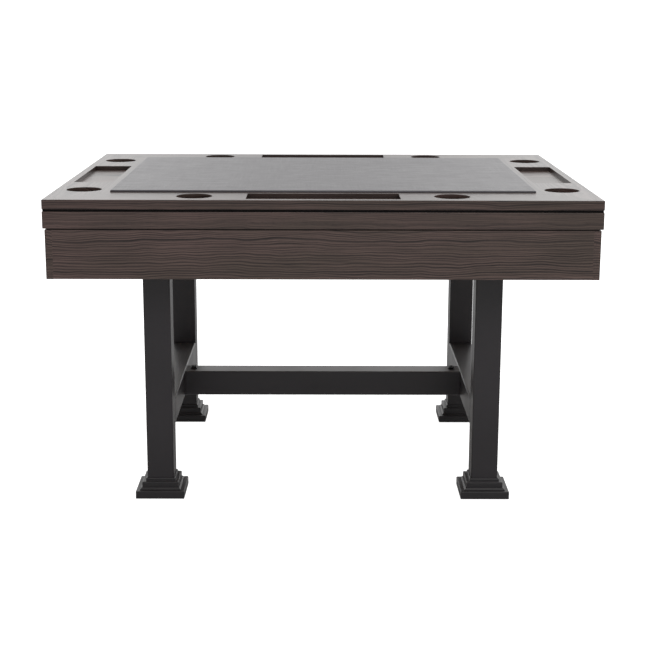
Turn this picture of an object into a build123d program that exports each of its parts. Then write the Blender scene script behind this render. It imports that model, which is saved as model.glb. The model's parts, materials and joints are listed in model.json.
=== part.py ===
from build123d import *
import os

# Gaming table: a steel trestle base, a wooden cabinet with a sunken game well, and a
# lift-off game top with a cloth playing panel, cup wells and chip trays.
# Millimetres. The origin is on the floor under the middle, +X to the right along the
# long side, -Y to the front, +Z up.

# Overall sizes
TOP_LENGTH = 1372.0
TOP_DEPTH = 1080.0
TOP_SURFACE_Z = 812.0

# Lift-off top
SLAB = 24.0
RAIL_WIDTH = 146.0
EDGE_ROUND = 1.5
CORE_THICK = 10.0
CORE_LIP = 12.0
PANEL_PROUD = 5.0
CLOTH_THICK = 1.0
BOARD_CLEARANCE = 0.5

# Chip trays, one in the middle of each rail
TRAY_LENGTH = 380.0
TRAY_WIDTH = 104.0
TRAY_DEPTH = 12.0
TRAY_LIP = 6.0

# Cup wells, two on each rail
CUP_RADIUS = 45.0
CUP_SPREAD_LONG = 320.0
CUP_SPREAD_END = 343.0
CUP_DEPTH = 68.0
LINER_WALL = 2.0
LINER_STEP = 0.5
LINER_FLOOR = 2.0
LINER_FLANGE_RADIUS = 55.0
LINER_FLANGE = 3.0
FLANGE_CLEARANCE = 0.3

# Parts under the slab
SHADOW_GAP = 5.5
BATTEN_THICK = 18.0
BATTEN_HEIGHT = 28.0
BATTEN_HALF_LENGTH = 200.0
BATTEN_CLEARANCE = 3.0
STRIP_WIDTH = 12.0
STRIP_SETBACK = 1.5

# Cabinet
BAND_INSET = 0.0
BAND_HEIGHT = 42.0
BAND_THICK = 20.0
APRON_INSET = 4.0
APRON_HEIGHT = 126.0
APRON_THICK = 18.0
GROOVE_HEIGHT = 3.5
GROOVE_DEPTH = 6.0
WELL_DEPTH = 104.0
WELL_FLOOR = 15.0
CLEAT = 20.0
CORNER_BLOCK = 45.0
BEARER_WIDTH = 120.0
BEARER_HEIGHT = 36.0

# Trestle base
TUBE = 70.0
TUBE_WALL = 3.0
TUBE_ROUND = 3.5
LEG_X = 429.0
LEG_Y = 353.0
STRETCHER_TOP = 250.0
LEG_PLATE = 120.0
LEG_PLATE_THICK = 5.0
LAG_SPREAD = 45.0
STUB_SIZE = 62.0
STUB_LENGTH = 60.0
STUB_WALL = 4.0
BOLT_FROM_END = 22.0

# Feet and levellers
FOOT_GAP = 2.0
FOOT_SIZE = 128.0
FOOT_HEIGHT = 20.0
FOOT_STEP_SIZE = 107.0
FOOT_STEP_HEIGHT = 6.0
SPIGOT_SIZE = 62.0
SPIGOT_HEIGHT = 14.0
COLLAR_SIZE = 96.0
COLLAR_HEIGHT = 15.0
COLLAR_LIP_SIZE = 78.0
COLLAR_LIP_HEIGHT = 8.0
PAD_RADIUS = 16.0
PAD_HEIGHT = 8.0
PAD_RECESS_RADIUS = 18.0
PAD_RECESS_DEPTH = 7.0
STUD_LENGTH = 32.0

# Fasteners, M8 and wood screws
M8_RADIUS = 4.0
M8_CLEARANCE_RADIUS = 4.5
M8_RUNNING_RADIUS = 4.1
HEX_ACROSS_FLATS = 13.0
HEX_HEIGHT = 5.3
FLAT_WASHER_RADIUS = 10.5
FLAT_WASHER = 1.6
SPRING_WASHER_RADIUS = 7.4
SPRING_WASHER = 2.2
STRETCHER_BOLT_LENGTH = 25.0
LAG_LENGTH = 30.0
NUT_HEIGHT = 6.5
SCREW_RADIUS = 2.0
SCREW_HEAD_RADIUS = 3.8
SCREW_LENGTH = 19.0
CUP_SCREW_RADIUS = 1.6
CUP_SCREW_HEAD_RADIUS = 3.2
CUP_SCREW_HEAD = 1.8
CUP_SCREW_LENGTH = 12.0
CUP_SCREW_CIRCLE = 51.0
PILOT_CLEARANCE = 0.1

# Heights worked out from the sizes above
SLAB_BOTTOM = TOP_SURFACE_Z - SLAB
BAND_TOP = SLAB_BOTTOM - SHADOW_GAP
APRON_TOP = BAND_TOP - BAND_HEIGHT
APRON_BOTTOM = APRON_TOP - APRON_HEIGHT
FLOOR_TOP = BAND_TOP - WELL_DEPTH
FLOOR_BOTTOM = FLOOR_TOP - WELL_FLOOR
BEARER_BOTTOM = FLOOR_BOTTOM - BEARER_HEIGHT
LEG_TOP = BEARER_BOTTOM - LEG_PLATE_THICK
LEG_BOTTOM = FOOT_GAP + FOOT_HEIGHT + FOOT_STEP_HEIGHT
STRETCHER_Z = STRETCHER_TOP - TUBE / 2

# Half sizes in plan
HALF_L = TOP_LENGTH / 2
HALF_D = TOP_DEPTH / 2
PANEL_HALF_X = HALF_L - RAIL_WIDTH
PANEL_HALF_Y = HALF_D - RAIL_WIDTH
APRON_HALF_X = HALF_L - APRON_INSET
APRON_HALF_Y = HALF_D - APRON_INSET
WELL_HALF_X = APRON_HALF_X - APRON_THICK
WELL_HALF_Y = APRON_HALF_Y - APRON_THICK
INNER_LEG_X = LEG_X - TUBE / 2
SIDES = {"left": -1, "right": 1}
ENDS = {"front": -1, "back": 1}
CORNERS = {e + "_" + s: (SIDES[s] * LEG_X, ENDS[e] * LEG_Y) for e in ENDS for s in SIDES}


def block(x0, x1, y0, y1, z0, z1):
    """A box between two corners."""
    middle = Pos((x0 + x1) / 2, (y0 + y1) / 2, (z0 + z1) / 2)
    return middle * Box(x1 - x0, y1 - y0, z1 - z0)


def post(x, y, z0, z1, size):
    """An upright square block on the line x, y."""
    return block(x - size / 2, x + size / 2, y - size / 2, y + size / 2, z0, z1)


def rod(x, y, z0, z1, radius):
    """An upright round bar on the line x, y."""
    return Pos(x, y, (z0 + z1) / 2) * Cylinder(radius, z1 - z0)


def hexagon(x, y, z0, height, across_flats):
    """An upright hexagonal bar on the line x, y."""
    outline = RegularPolygon(across_flats / 2, 6, major_radius=False)
    return Pos(x, y, z0) * extrude(outline, height)


def group(solids):
    """Separate solids kept in one node."""
    return Compound(children=[s.solid() for s in solids])


def edges_at(shape, test):
    """The edges of a shape whose middle point passes a test."""
    return [e for e in shape.edges() if test(e.position_at(0.5))]


def square_tube(length):
    """A square tube along Z from the origin, with rounded outer and inner corners."""
    inside = TUBE - 2 * TUBE_WALL
    section = RectangleRounded(TUBE, TUBE, TUBE_ROUND)
    section -= RectangleRounded(inside, inside, TUBE_ROUND - TUBE_WALL / 2)
    return extrude(section, length)


# Lift-off top

def cup_spots(spread, outer):
    """Centres of the two cup wells of a rail that lies along X with its outer edge at -Y."""
    y = RAIL_WIDTH / 2 - outer
    return [(-spread, y), (spread, y)]


def cup_screw_spots(x, y):
    """Three screws through a cup's flange, the first towards the middle of the table."""
    ring = PolarLocations(CUP_SCREW_CIRCLE, 3, 90)
    return [(x + spot.position.X, y + spot.position.Y) for spot in ring]


def core_screw_spots():
    """Screws round the rim of the core panel, in the table's frame."""
    x = PANEL_HALF_X + CORE_LIP / 2
    y = PANEL_HALF_Y + CORE_LIP / 2
    along_x = [(k * x / 3, side * y) for k in (-2, 0, 2) for side in (-1, 1)]
    along_y = [(side * x, k * y / 3) for k in (-2, 0, 2) for side in (-1, 1)]
    return along_x + along_y


def mitred_bar(half_length, outer, width, z0, z1):
    """A bar along X with its outer edge at -Y and both ends cut at 45 degrees."""
    inner = half_length - width
    outline = Polyline(
        (-half_length, -outer),
        (half_length, -outer),
        (inner, width - outer),
        (-inner, width - outer),
        close=True,
    )
    return Pos(0, 0, z0) * extrude(make_face(outline), z1 - z0)


def top_rail(half_length, outer, cup_spread):
    """One mitred rail of the top, lying along X with its outer edge at -Y."""
    rail = mitred_bar(half_length, outer, RAIL_WIDTH, SLAB_BOTTOM, TOP_SURFACE_Z)
    middle = RAIL_WIDTH / 2 - outer
    tray_floor = TOP_SURFACE_Z - TRAY_DEPTH
    half_x = TRAY_LENGTH / 2
    half_y = TRAY_WIDTH / 2
    rail -= block(
        -half_x, half_x, middle - half_y, middle + half_y, SLAB_BOTTOM, TOP_SURFACE_Z
    )
    rail -= block(
        -half_x - TRAY_LIP, half_x + TRAY_LIP,
        middle - half_y - TRAY_LIP, middle + half_y + TRAY_LIP,
        SLAB_BOTTOM, tray_floor,
    )
    inner = RAIL_WIDTH - outer
    rail -= block(
        -half_length, half_length, inner - CORE_LIP, inner, SLAB_BOTTOM, SLAB_BOTTOM + CORE_THICK
    )
    for x, y in cup_spots(cup_spread, outer):
        rail -= rod(x, y, SLAB_BOTTOM, TOP_SURFACE_Z, CUP_RADIUS)
        seat = LINER_FLANGE_RADIUS + FLANGE_CLEARANCE
        rail -= rod(x, y, SLAB_BOTTOM, SLAB_BOTTOM + LINER_FLANGE, seat)
        pilot_top = SLAB_BOTTOM + CUP_SCREW_LENGTH
        for sx, sy in cup_screw_spots(x, y):
            rail -= rod(sx, sy, SLAB_BOTTOM, pilot_top, CUP_SCREW_RADIUS + PILOT_CLEARANCE)
    rail = fillet(edges_at(rail, lambda p: abs(p.Y + outer) < 0.01 and abs(p.X) < 0.01), EDGE_ROUND)
    rims = edges_at(rail, lambda p: abs(p.Z - TOP_SURFACE_Z) < 0.01
                    and abs(p.Y - middle) < half_y + 1 and abs(p.X) < cup_spread + CUP_RADIUS + 1)
    return fillet(rims, EDGE_ROUND / 2)


def turned_rails():
    """The four rails in place, with the pilot holes of the core screws."""
    long_rail = top_rail(HALF_L, HALF_D, CUP_SPREAD_LONG)
    end_rail = top_rail(HALF_D, HALF_L, CUP_SPREAD_END)
    rails = {
        "front": long_rail,
        "back": Rot(0, 0, 180) * long_rail,
        "left": Rot(0, 0, -90) * end_rail,
        "right": Rot(0, 0, 90) * end_rail,
    }
    holes = []
    for x, y in core_screw_spots():
        radius = SCREW_RADIUS + PILOT_CLEARANCE
        holes.append(rod(x, y, SLAB_BOTTOM, SLAB_BOTTOM + SCREW_LENGTH, radius))
    return {name: rail - holes for name, rail in rails.items()}


def turned_spots(long_spots, end_spots):
    """Points given for a front rail and for an end rail, turned to all four rails."""
    spots = {}
    for name, (x, y) in zip(("left", "right"), long_spots):
        spots["front_" + name] = (x, y)
        spots["back_" + name] = (x, -y)
    for name, (x, y) in zip(("front", "back"), end_spots):
        spots["left_" + name] = (y, x)
        spots["right_" + name] = (-y, x)
    return spots


def cup_centres():
    """The eight cup centres, by rail and side."""
    long_spots = cup_spots(CUP_SPREAD_LONG, HALF_D)
    end_spots = cup_spots(CUP_SPREAD_END, HALF_L)
    return turned_spots(long_spots, end_spots)


def rail_turn(name):
    """The turn of the rail that a cup belongs to, from the front rail's place."""
    turns = {"front": 0, "back": 180, "left": -90, "right": 90}
    return turns[name.split("_")[0]]


def flange_screw_spots(name, x, y):
    """The three screw places of one cup, turned with its rail."""
    spots = [Vector(sx, sy).rotate(Axis.Z, rail_turn(name)) for sx, sy in cup_screw_spots(0, 0)]
    return [(x + spot.X, y + spot.Y) for spot in spots]


def cup_liner(name, x, y):
    """A moulded cup under the slab, hung by its flange."""
    outer = CUP_RADIUS + LINER_STEP + LINER_WALL
    bottom = TOP_SURFACE_Z - CUP_DEPTH - LINER_FLOOR
    liner = rod(x, y, bottom, SLAB_BOTTOM + LINER_FLANGE, outer)
    liner = fillet(edges_at(liner, lambda p: abs(p.Z - bottom) < 0.01), 4.0)
    liner += rod(x, y, SLAB_BOTTOM, SLAB_BOTTOM + LINER_FLANGE, LINER_FLANGE_RADIUS)
    hollow = rod(x, y, bottom + LINER_FLOOR, TOP_SURFACE_Z, CUP_RADIUS + LINER_STEP)
    floor_z = bottom + LINER_FLOOR
    liner -= fillet(edges_at(hollow, lambda p: abs(p.Z - floor_z) < 0.01), 3.0)
    for sx, sy in flange_screw_spots(name, x, y):
        hole_top = SLAB_BOTTOM + LINER_FLANGE
        liner -= rod(sx, sy, SLAB_BOTTOM, hole_top, CUP_SCREW_RADIUS + PILOT_CLEARANCE)
    return liner


def cup_screws():
    """The pan-head screws that hold the cup flanges."""
    screws = []
    for name, (x, y) in cup_centres().items():
        for sx, sy in flange_screw_spots(name, x, y):
            shank = rod(sx, sy, SLAB_BOTTOM, SLAB_BOTTOM + CUP_SCREW_LENGTH - 1, CUP_SCREW_RADIUS)
            head = rod(sx, sy, SLAB_BOTTOM - CUP_SCREW_HEAD, SLAB_BOTTOM, CUP_SCREW_HEAD_RADIUS)
            screws.append(shank + head)
    return group(screws)


def tray_floors():
    """The four boards that close the chip trays from below."""
    half_x = TRAY_LENGTH / 2 + TRAY_LIP
    half_y = TRAY_WIDTH / 2 + TRAY_LIP
    top = TOP_SURFACE_Z - TRAY_DEPTH
    long_board = block(-half_x, half_x, -half_y, half_y, SLAB_BOTTOM, top)
    y = HALF_D - RAIL_WIDTH / 2
    x = HALF_L - RAIL_WIDTH / 2
    boards = [Pos(0, side * y, 0) * long_board for side in (-1, 1)]
    end_board = Rot(0, 0, 90) * long_board
    boards += [Pos(side * x, 0, 0) * end_board for side in (-1, 1)]
    return group(boards)


def top_core():
    """The panel let into the rails from below that carries the playing panel."""
    x = PANEL_HALF_X + CORE_LIP
    y = PANEL_HALF_Y + CORE_LIP
    core = block(-x, x, -y, y, SLAB_BOTTOM, SLAB_BOTTOM + CORE_THICK)
    head = SCREW_HEAD_RADIUS + PILOT_CLEARANCE
    hole = SCREW_RADIUS + PILOT_CLEARANCE
    for sx, sy in core_screw_spots():
        core -= rod(sx, sy, SLAB_BOTTOM, SLAB_BOTTOM + CORE_THICK, hole)
        core -= Pos(sx, sy, SLAB_BOTTOM + 1) * Cone(head, hole, 2)
    return core


def core_screws():
    """Countersunk screws through the core's rim into the rails."""
    screws = []
    for sx, sy in core_screw_spots():
        shank = rod(sx, sy, SLAB_BOTTOM, SLAB_BOTTOM + SCREW_LENGTH - 1, SCREW_RADIUS)
        head = Pos(sx, sy, SLAB_BOTTOM + 1) * Cone(SCREW_HEAD_RADIUS, SCREW_RADIUS, 2)
        screws.append(shank + head)
    return group(screws)


def play_board():
    """The board inside the playing panel."""
    x = PANEL_HALF_X - BOARD_CLEARANCE
    y = PANEL_HALF_Y - BOARD_CLEARANCE
    return block(-x, x, -y, y, SLAB_BOTTOM + CORE_THICK, TOP_SURFACE_Z)


def play_foam():
    """The foam on the board, inside the cloth."""
    x = PANEL_HALF_X - CLOTH_THICK
    y = PANEL_HALF_Y - CLOTH_THICK
    top = TOP_SURFACE_Z + PANEL_PROUD - CLOTH_THICK
    return block(-x, x, -y, y, TOP_SURFACE_Z, top)


def play_cloth():
    """The cloth over the foam, turned down at its edges."""
    top = TOP_SURFACE_Z + PANEL_PROUD
    cover = block(
        -PANEL_HALF_X, PANEL_HALF_X, -PANEL_HALF_Y, PANEL_HALF_Y, TOP_SURFACE_Z, top
    )
    return cover - play_foam()


def locating_battens():
    """Four battens under the top that drop inside the cabinet's band."""
    face_x = HALF_L - BAND_INSET - BAND_THICK - BATTEN_CLEARANCE
    face_y = HALF_D - BAND_INSET - BAND_THICK - BATTEN_CLEARANCE
    low = SLAB_BOTTOM - BATTEN_HEIGHT
    half = BATTEN_HALF_LENGTH
    end_batten = block(face_x - BATTEN_THICK, face_x, -half, half, low, SLAB_BOTTOM)
    long_batten = block(-half, half, -face_y, BATTEN_THICK - face_y, low, SLAB_BOTTOM)
    turn = Rot(0, 0, 180)
    return group([end_batten, turn * end_batten, long_batten, turn * long_batten])


# Cabinet

def band(half_length, outer):
    """One mitred board of the band, along X with its outer face at -Y."""
    bar = mitred_bar(half_length, outer, BAND_THICK, APRON_TOP, BAND_TOP)
    outer_edges = edges_at(bar, lambda p: abs(p.Y + outer) < 0.01 and abs(p.X) < 0.01)
    return fillet(outer_edges, EDGE_ROUND)


def bands():
    """The four band boards, by side."""
    long_band = band(HALF_L - BAND_INSET, HALF_D - BAND_INSET)
    end_band = band(HALF_D - BAND_INSET, HALF_L - BAND_INSET)
    return {
        "front": long_band,
        "back": Rot(0, 0, 180) * long_band,
        "left": Rot(0, 0, -90) * end_band,
        "right": Rot(0, 0, 90) * end_band,
    }


def aprons():
    """The four apron boards, rebated under the band; the long ones fit between the end ones."""
    long_board = block(
        -WELL_HALF_X, WELL_HALF_X, -APRON_HALF_Y, -WELL_HALF_Y, APRON_BOTTOM, APRON_TOP
    )
    end_board = block(
        WELL_HALF_X, APRON_HALF_X, -APRON_HALF_Y, APRON_HALF_Y, APRON_BOTTOM, APRON_TOP
    )
    low_front = edges_at(
        long_board,
        lambda p: abs(p.Z - APRON_BOTTOM) < 0.01 and abs(p.Y + APRON_HALF_Y) < 0.01,
    )
    long_board = fillet(low_front, EDGE_ROUND)
    outside = edges_at(
        end_board,
        lambda p: abs(p.X - APRON_HALF_X) < 0.01 and abs(p.Z - APRON_TOP) > 0.01,
    )
    end_board = fillet(outside, EDGE_ROUND)
    groove_z = (APRON_TOP - GROOVE_HEIGHT, APRON_TOP)
    back_x = APRON_HALF_X - GROOVE_DEPTH
    back_y = APRON_HALF_Y - GROOVE_DEPTH
    long_board -= block(-WELL_HALF_X, WELL_HALF_X, -APRON_HALF_Y, -back_y, *groove_z)
    end_board -= block(back_x, APRON_HALF_X, -APRON_HALF_Y, APRON_HALF_Y, *groove_z)
    for side in (-1, 1):
        ys = sorted((side * back_y, side * APRON_HALF_Y))
        end_board -= block(WELL_HALF_X, APRON_HALF_X, *ys, *groove_z)
    return {
        "front": long_board,
        "back": Rot(0, 0, 180) * long_board,
        "left": Rot(0, 0, 180) * end_board,
        "right": end_board,
    }


def corner_blocks():
    """Triangular glue blocks in the four inner corners of the aprons, under the floor."""
    outline = Polyline((0, 0), (-CORNER_BLOCK, 0), (0, -CORNER_BLOCK), close=True)
    corner = extrude(make_face(outline), FLOOR_BOTTOM - BEARER_BOTTOM)
    corner = Pos(WELL_HALF_X, WELL_HALF_Y, BEARER_BOTTOM) * corner
    halves = [corner, mirror(corner, Plane.YZ)]
    return group(halves + [mirror(c, Plane.XZ) for c in halves])


def floor_cleats():
    """Cleats on the inside of the aprons that carry the floor between the bearers."""
    low = FLOOR_BOTTOM - CLEAT
    end_y = WELL_HALF_Y - CORNER_BLOCK
    inner_bearer = LEG_X - BEARER_WIDTH / 2
    outer_bearer = LEG_X + BEARER_WIDTH / 2
    end_x = WELL_HALF_X - CORNER_BLOCK
    end = block(WELL_HALF_X - CLEAT, WELL_HALF_X, -end_y, end_y, low, FLOOR_BOTTOM)
    cleats = [end, Rot(0, 0, 180) * end]
    for x0, x1 in ((-end_x, -outer_bearer), (-inner_bearer, inner_bearer), (outer_bearer, end_x)):
        for side in ENDS.values():
            y = sorted((side * WELL_HALF_Y, side * (WELL_HALF_Y - CLEAT)))
            cleats.append(block(x0, x1, y[0], y[1], low, FLOOR_BOTTOM))
    return group(cleats)


def lag_spots():
    """The lag screw places of all four leg plates."""
    offsets = [(a * LAG_SPREAD, b * LAG_SPREAD) for a in (-1, 1) for b in (-1, 1)]
    return [(x + a, y + b) for x, y in CORNERS.values() for a, b in offsets]


def bearer(side):
    """A board across the cabinet that the two legs of one end are screwed to."""
    x = side * LEG_X
    half = BEARER_WIDTH / 2
    board = block(x - half, x + half, -WELL_HALF_Y, WELL_HALF_Y, BEARER_BOTTOM, FLOOR_BOTTOM)
    for sx, sy in lag_spots():
        if abs(sx - x) < half:
            board -= rod(sx, sy, BEARER_BOTTOM, BEARER_BOTTOM + LAG_LENGTH, M8_RUNNING_RADIUS)
    return board


def well_floor():
    """The floor board of the game well."""
    x = WELL_HALF_X
    y = WELL_HALF_Y
    return block(-x, x, -y, y, FLOOR_BOTTOM, FLOOR_TOP - CLOTH_THICK)


def well_cloth():
    """The cloth laid on the floor of the game well."""
    x = WELL_HALF_X - BOARD_CLEARANCE
    y = WELL_HALF_Y - BOARD_CLEARANCE
    return block(-x, x, -y, y, FLOOR_TOP - CLOTH_THICK, FLOOR_TOP)


def spacer_strips():
    """Felt strips all round on the band that hold the top up by the shadow gap."""
    out_x = HALF_L - BAND_INSET - STRIP_SETBACK
    out_y = HALF_D - BAND_INSET - STRIP_SETBACK
    in_x = out_x - STRIP_WIDTH
    in_y = out_y - STRIP_WIDTH
    strips = []
    for side in (-1, 1):
        xs = sorted((side * in_x, side * out_x))
        ys = sorted((side * in_y, side * out_y))
        strips.append(block(*xs, -out_y, out_y, BAND_TOP, SLAB_BOTTOM))
        strips.append(block(-in_x, in_x, *ys, BAND_TOP, SLAB_BOTTOM))
    return group(strips)


# Trestle base

def leg(x, y):
    """One leg tube."""
    return Pos(x, y, LEG_BOTTOM) * square_tube(LEG_TOP - LEG_BOTTOM)


def side_stretcher(side):
    """The tube between the front and the back leg of one end."""
    half = LEG_Y - TUBE / 2
    tube = Rot(-90, 0, 0) * square_tube(2 * half)
    return Pos(side * LEG_X, -half, STRETCHER_Z) * tube


def bolt_spots():
    """The two bolt places on the centre stretcher."""
    x = INNER_LEG_X - BOLT_FROM_END
    return [(-x, 0), (x, 0)]


def centre_stretcher():
    """The long tube between the side stretchers, drilled for its bolts."""
    tube = Rot(0, 90, 0) * square_tube(2 * INNER_LEG_X)
    tube = Pos(-INNER_LEG_X, 0, STRETCHER_Z) * tube
    for x, y in bolt_spots():
        tube -= rod(x, y, STRETCHER_Z, STRETCHER_TOP, M8_CLEARANCE_RADIUS)
    return tube


def stretcher_stubs():
    """Short tubes on the side stretchers that the centre stretcher slides over."""
    half = STUB_SIZE / 2
    wall = half - STUB_WALL
    stubs = []
    for side, (bolt_x, bolt_y) in zip((-1, 1), bolt_spots()):
        xs = sorted((side * (INNER_LEG_X - STUB_LENGTH), side * INNER_LEG_X))
        stub = block(*xs, -half, half, STRETCHER_Z - half, STRETCHER_Z + half)
        stub -= block(*xs, -wall, wall, STRETCHER_Z - wall, STRETCHER_Z + wall)
        stub -= rod(bolt_x, bolt_y, STRETCHER_Z, STRETCHER_TOP, M8_CLEARANCE_RADIUS)
        stubs.append(stub)
    return group(stubs)


def stub_nuts():
    """Weld nuts inside the stubs, under the bolts."""
    top = STRETCHER_Z + STUB_SIZE / 2 - STUB_WALL
    nuts = []
    for x, y in bolt_spots():
        nut = hexagon(x, y, top - NUT_HEIGHT, NUT_HEIGHT, HEX_ACROSS_FLATS)
        nuts.append(nut - rod(x, y, top - NUT_HEIGHT, top, M8_RUNNING_RADIUS))
    return group(nuts)


def stretcher_bolts():
    """The hexagon bolts through the top of the centre stretcher."""
    seat = STRETCHER_TOP + FLAT_WASHER + SPRING_WASHER
    bolts = []
    for x, y in bolt_spots():
        head = hexagon(x, y, seat, HEX_HEIGHT, HEX_ACROSS_FLATS)
        head &= Pos(x, y, seat + HEX_HEIGHT / 2) * Cylinder(HEX_ACROSS_FLATS * 0.56, HEX_HEIGHT)
        shank = rod(x, y, seat - STRETCHER_BOLT_LENGTH, seat, M8_RADIUS)
        bolts.append(head + shank)
    return group(bolts)


def flat_washers(spots, z0, radius):
    """Plain washers with their lower face at z0."""
    rings = []
    for x, y in spots:
        ring = rod(x, y, z0, z0 + FLAT_WASHER, radius)
        rings.append(ring - rod(x, y, z0, z0 + FLAT_WASHER, M8_CLEARANCE_RADIUS))
    return group(rings)


def spring_washers():
    """Split washers under the stretcher bolts' heads."""
    low = STRETCHER_TOP + FLAT_WASHER
    high = low + SPRING_WASHER
    rings = []
    for x, y in bolt_spots():
        ring = rod(x, y, low, high, SPRING_WASHER_RADIUS)
        ring -= rod(x, y, low, high, M8_CLEARANCE_RADIUS)
        slit = block(x - 0.6, x + 0.6, y - SPRING_WASHER_RADIUS - 1, y, low, high)
        rings.append(ring - slit)
    return group(rings)


def leg_plates():
    """Plates welded on the leg tops and screwed up to the bearers."""
    plates = []
    for x, y in CORNERS.values():
        plate = post(x, y, LEG_TOP, BEARER_BOTTOM, LEG_PLATE)
        plate = fillet(plate.edges().filter_by(Axis.Z), 6.0)
        for sx, sy in lag_spots():
            if abs(sx - x) < LEG_PLATE / 2 and abs(sy - y) < LEG_PLATE / 2:
                plate -= rod(sx, sy, LEG_TOP, BEARER_BOTTOM, M8_CLEARANCE_RADIUS)
        plates.append(plate)
    return group(plates)


def lag_screws():
    """Hexagon lag screws through the leg plates into the bearers."""
    seat = LEG_TOP - FLAT_WASHER
    screws = []
    for x, y in lag_spots():
        head = hexagon(x, y, seat - HEX_HEIGHT, HEX_HEIGHT, HEX_ACROSS_FLATS)
        screws.append(head + rod(x, y, seat, seat + LAG_LENGTH, M8_RADIUS))
    return group(screws)


def foot(x, y):
    """A stepped cast foot with a spigot for the leg tube and a tapped hole."""
    top = FOOT_GAP + FOOT_HEIGHT
    base = post(x, y, FOOT_GAP, top, FOOT_SIZE)
    upright = edges_at(base, lambda p: FOOT_GAP + 0.1 < p.Z < top - 0.1)
    base = fillet(upright, 2.0)
    base = chamfer(edges_at(base, lambda p: abs(p.Z - top) < 0.01), 1.5)
    step = post(x, y, top, LEG_BOTTOM, FOOT_STEP_SIZE)
    step = chamfer(edges_at(step, lambda p: abs(p.Z - LEG_BOTTOM) < 0.01), 4.0)
    casting = base + step + post(x, y, LEG_BOTTOM, LEG_BOTTOM + SPIGOT_HEIGHT, SPIGOT_SIZE)
    casting -= rod(x, y, FOOT_GAP, FOOT_GAP + PAD_RECESS_DEPTH, PAD_RECESS_RADIUS)
    return casting - rod(x, y, FOOT_GAP, LEG_BOTTOM + SPIGOT_HEIGHT, M8_RUNNING_RADIUS)


def foot_collars():
    """Square mouldings that slip over the legs and cover the joint with the feet."""
    middle = LEG_BOTTOM + COLLAR_HEIGHT
    top = middle + COLLAR_LIP_HEIGHT
    collars = []
    for x, y in CORNERS.values():
        ring = post(x, y, LEG_BOTTOM, middle, COLLAR_SIZE)
        ring = chamfer(edges_at(ring, lambda p: abs(p.Z - middle) < 0.01), 1.5)
        ring += post(x, y, middle, top, COLLAR_LIP_SIZE)
        ring = chamfer(edges_at(ring, lambda p: abs(p.Z - top) < 0.01), 2.0)
        collars.append(ring - post(x, y, LEG_BOTTOM, top, TUBE))
    return group(collars)


def leveller(x, y):
    """A levelling foot: a round pad on a stud, shown screwed right in."""
    pad = rod(x, y, 0, PAD_HEIGHT, PAD_RADIUS)
    pad = fillet(edges_at(pad, lambda p: abs(p.Z - PAD_HEIGHT) < 0.01), 1.5)
    return pad + rod(x, y, PAD_HEIGHT, PAD_HEIGHT + STUD_LENGTH, M8_RADIUS)


def all_parts():
    """Every node of the table, by name."""
    parts = {}
    for corner, (x, y) in CORNERS.items():
        parts["leg_" + corner] = leg(x, y)
        parts["foot_" + corner] = foot(x, y)
        parts["leveller_" + corner] = leveller(x, y)
    for name, side in SIDES.items():
        parts["side_stretcher_" + name] = side_stretcher(side)
        parts["bearer_" + name] = bearer(side)
    for name, board in aprons().items():
        parts["apron_" + name] = board
    for name, board in bands().items():
        parts["band_" + name] = board
    for name, rail in turned_rails().items():
        parts["top_rail_" + name] = rail
    for name, (x, y) in cup_centres().items():
        parts["cup_liner_" + name] = cup_liner(name, x, y)
    washer_seat = LEG_TOP - FLAT_WASHER
    parts["foot_collars"] = foot_collars()
    parts["centre_stretcher"] = centre_stretcher()
    parts["stretcher_stubs"] = stretcher_stubs()
    parts["stub_nuts"] = stub_nuts()
    parts["stretcher_bolts"] = stretcher_bolts()
    parts["stretcher_spring_washers"] = spring_washers()
    parts["stretcher_flat_washers"] = flat_washers(bolt_spots(), STRETCHER_TOP, FLAT_WASHER_RADIUS)
    parts["leg_plates"] = leg_plates()
    parts["leg_lag_screws"] = lag_screws()
    parts["leg_lag_washers"] = flat_washers(lag_spots(), washer_seat, FLAT_WASHER_RADIUS - 2)
    parts["corner_blocks"] = corner_blocks()
    parts["floor_cleats"] = floor_cleats()
    parts["well_floor"] = well_floor()
    parts["well_cloth"] = well_cloth()
    parts["spacer_strips"] = spacer_strips()
    parts["tray_floors"] = tray_floors()
    parts["top_core"] = top_core()
    parts["core_screws"] = core_screws()
    parts["cup_screws"] = cup_screws()
    parts["play_board"] = play_board()
    parts["play_foam"] = play_foam()
    parts["play_cloth"] = play_cloth()
    parts["locating_battens"] = locating_battens()
    return parts


os.makedirs("parts", exist_ok=True)
for node, shape in all_parts().items():
    export_step(shape, "parts/" + node + ".step")
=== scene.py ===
"""The looks of a gaming table: finishes on its CAD frame, and its cloths, felt, liners and bolts."""

import json
import logging
import math
from dataclasses import dataclass
from enum import Enum

import bmesh
import bpy
from mathutils import Matrix, Vector

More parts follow.
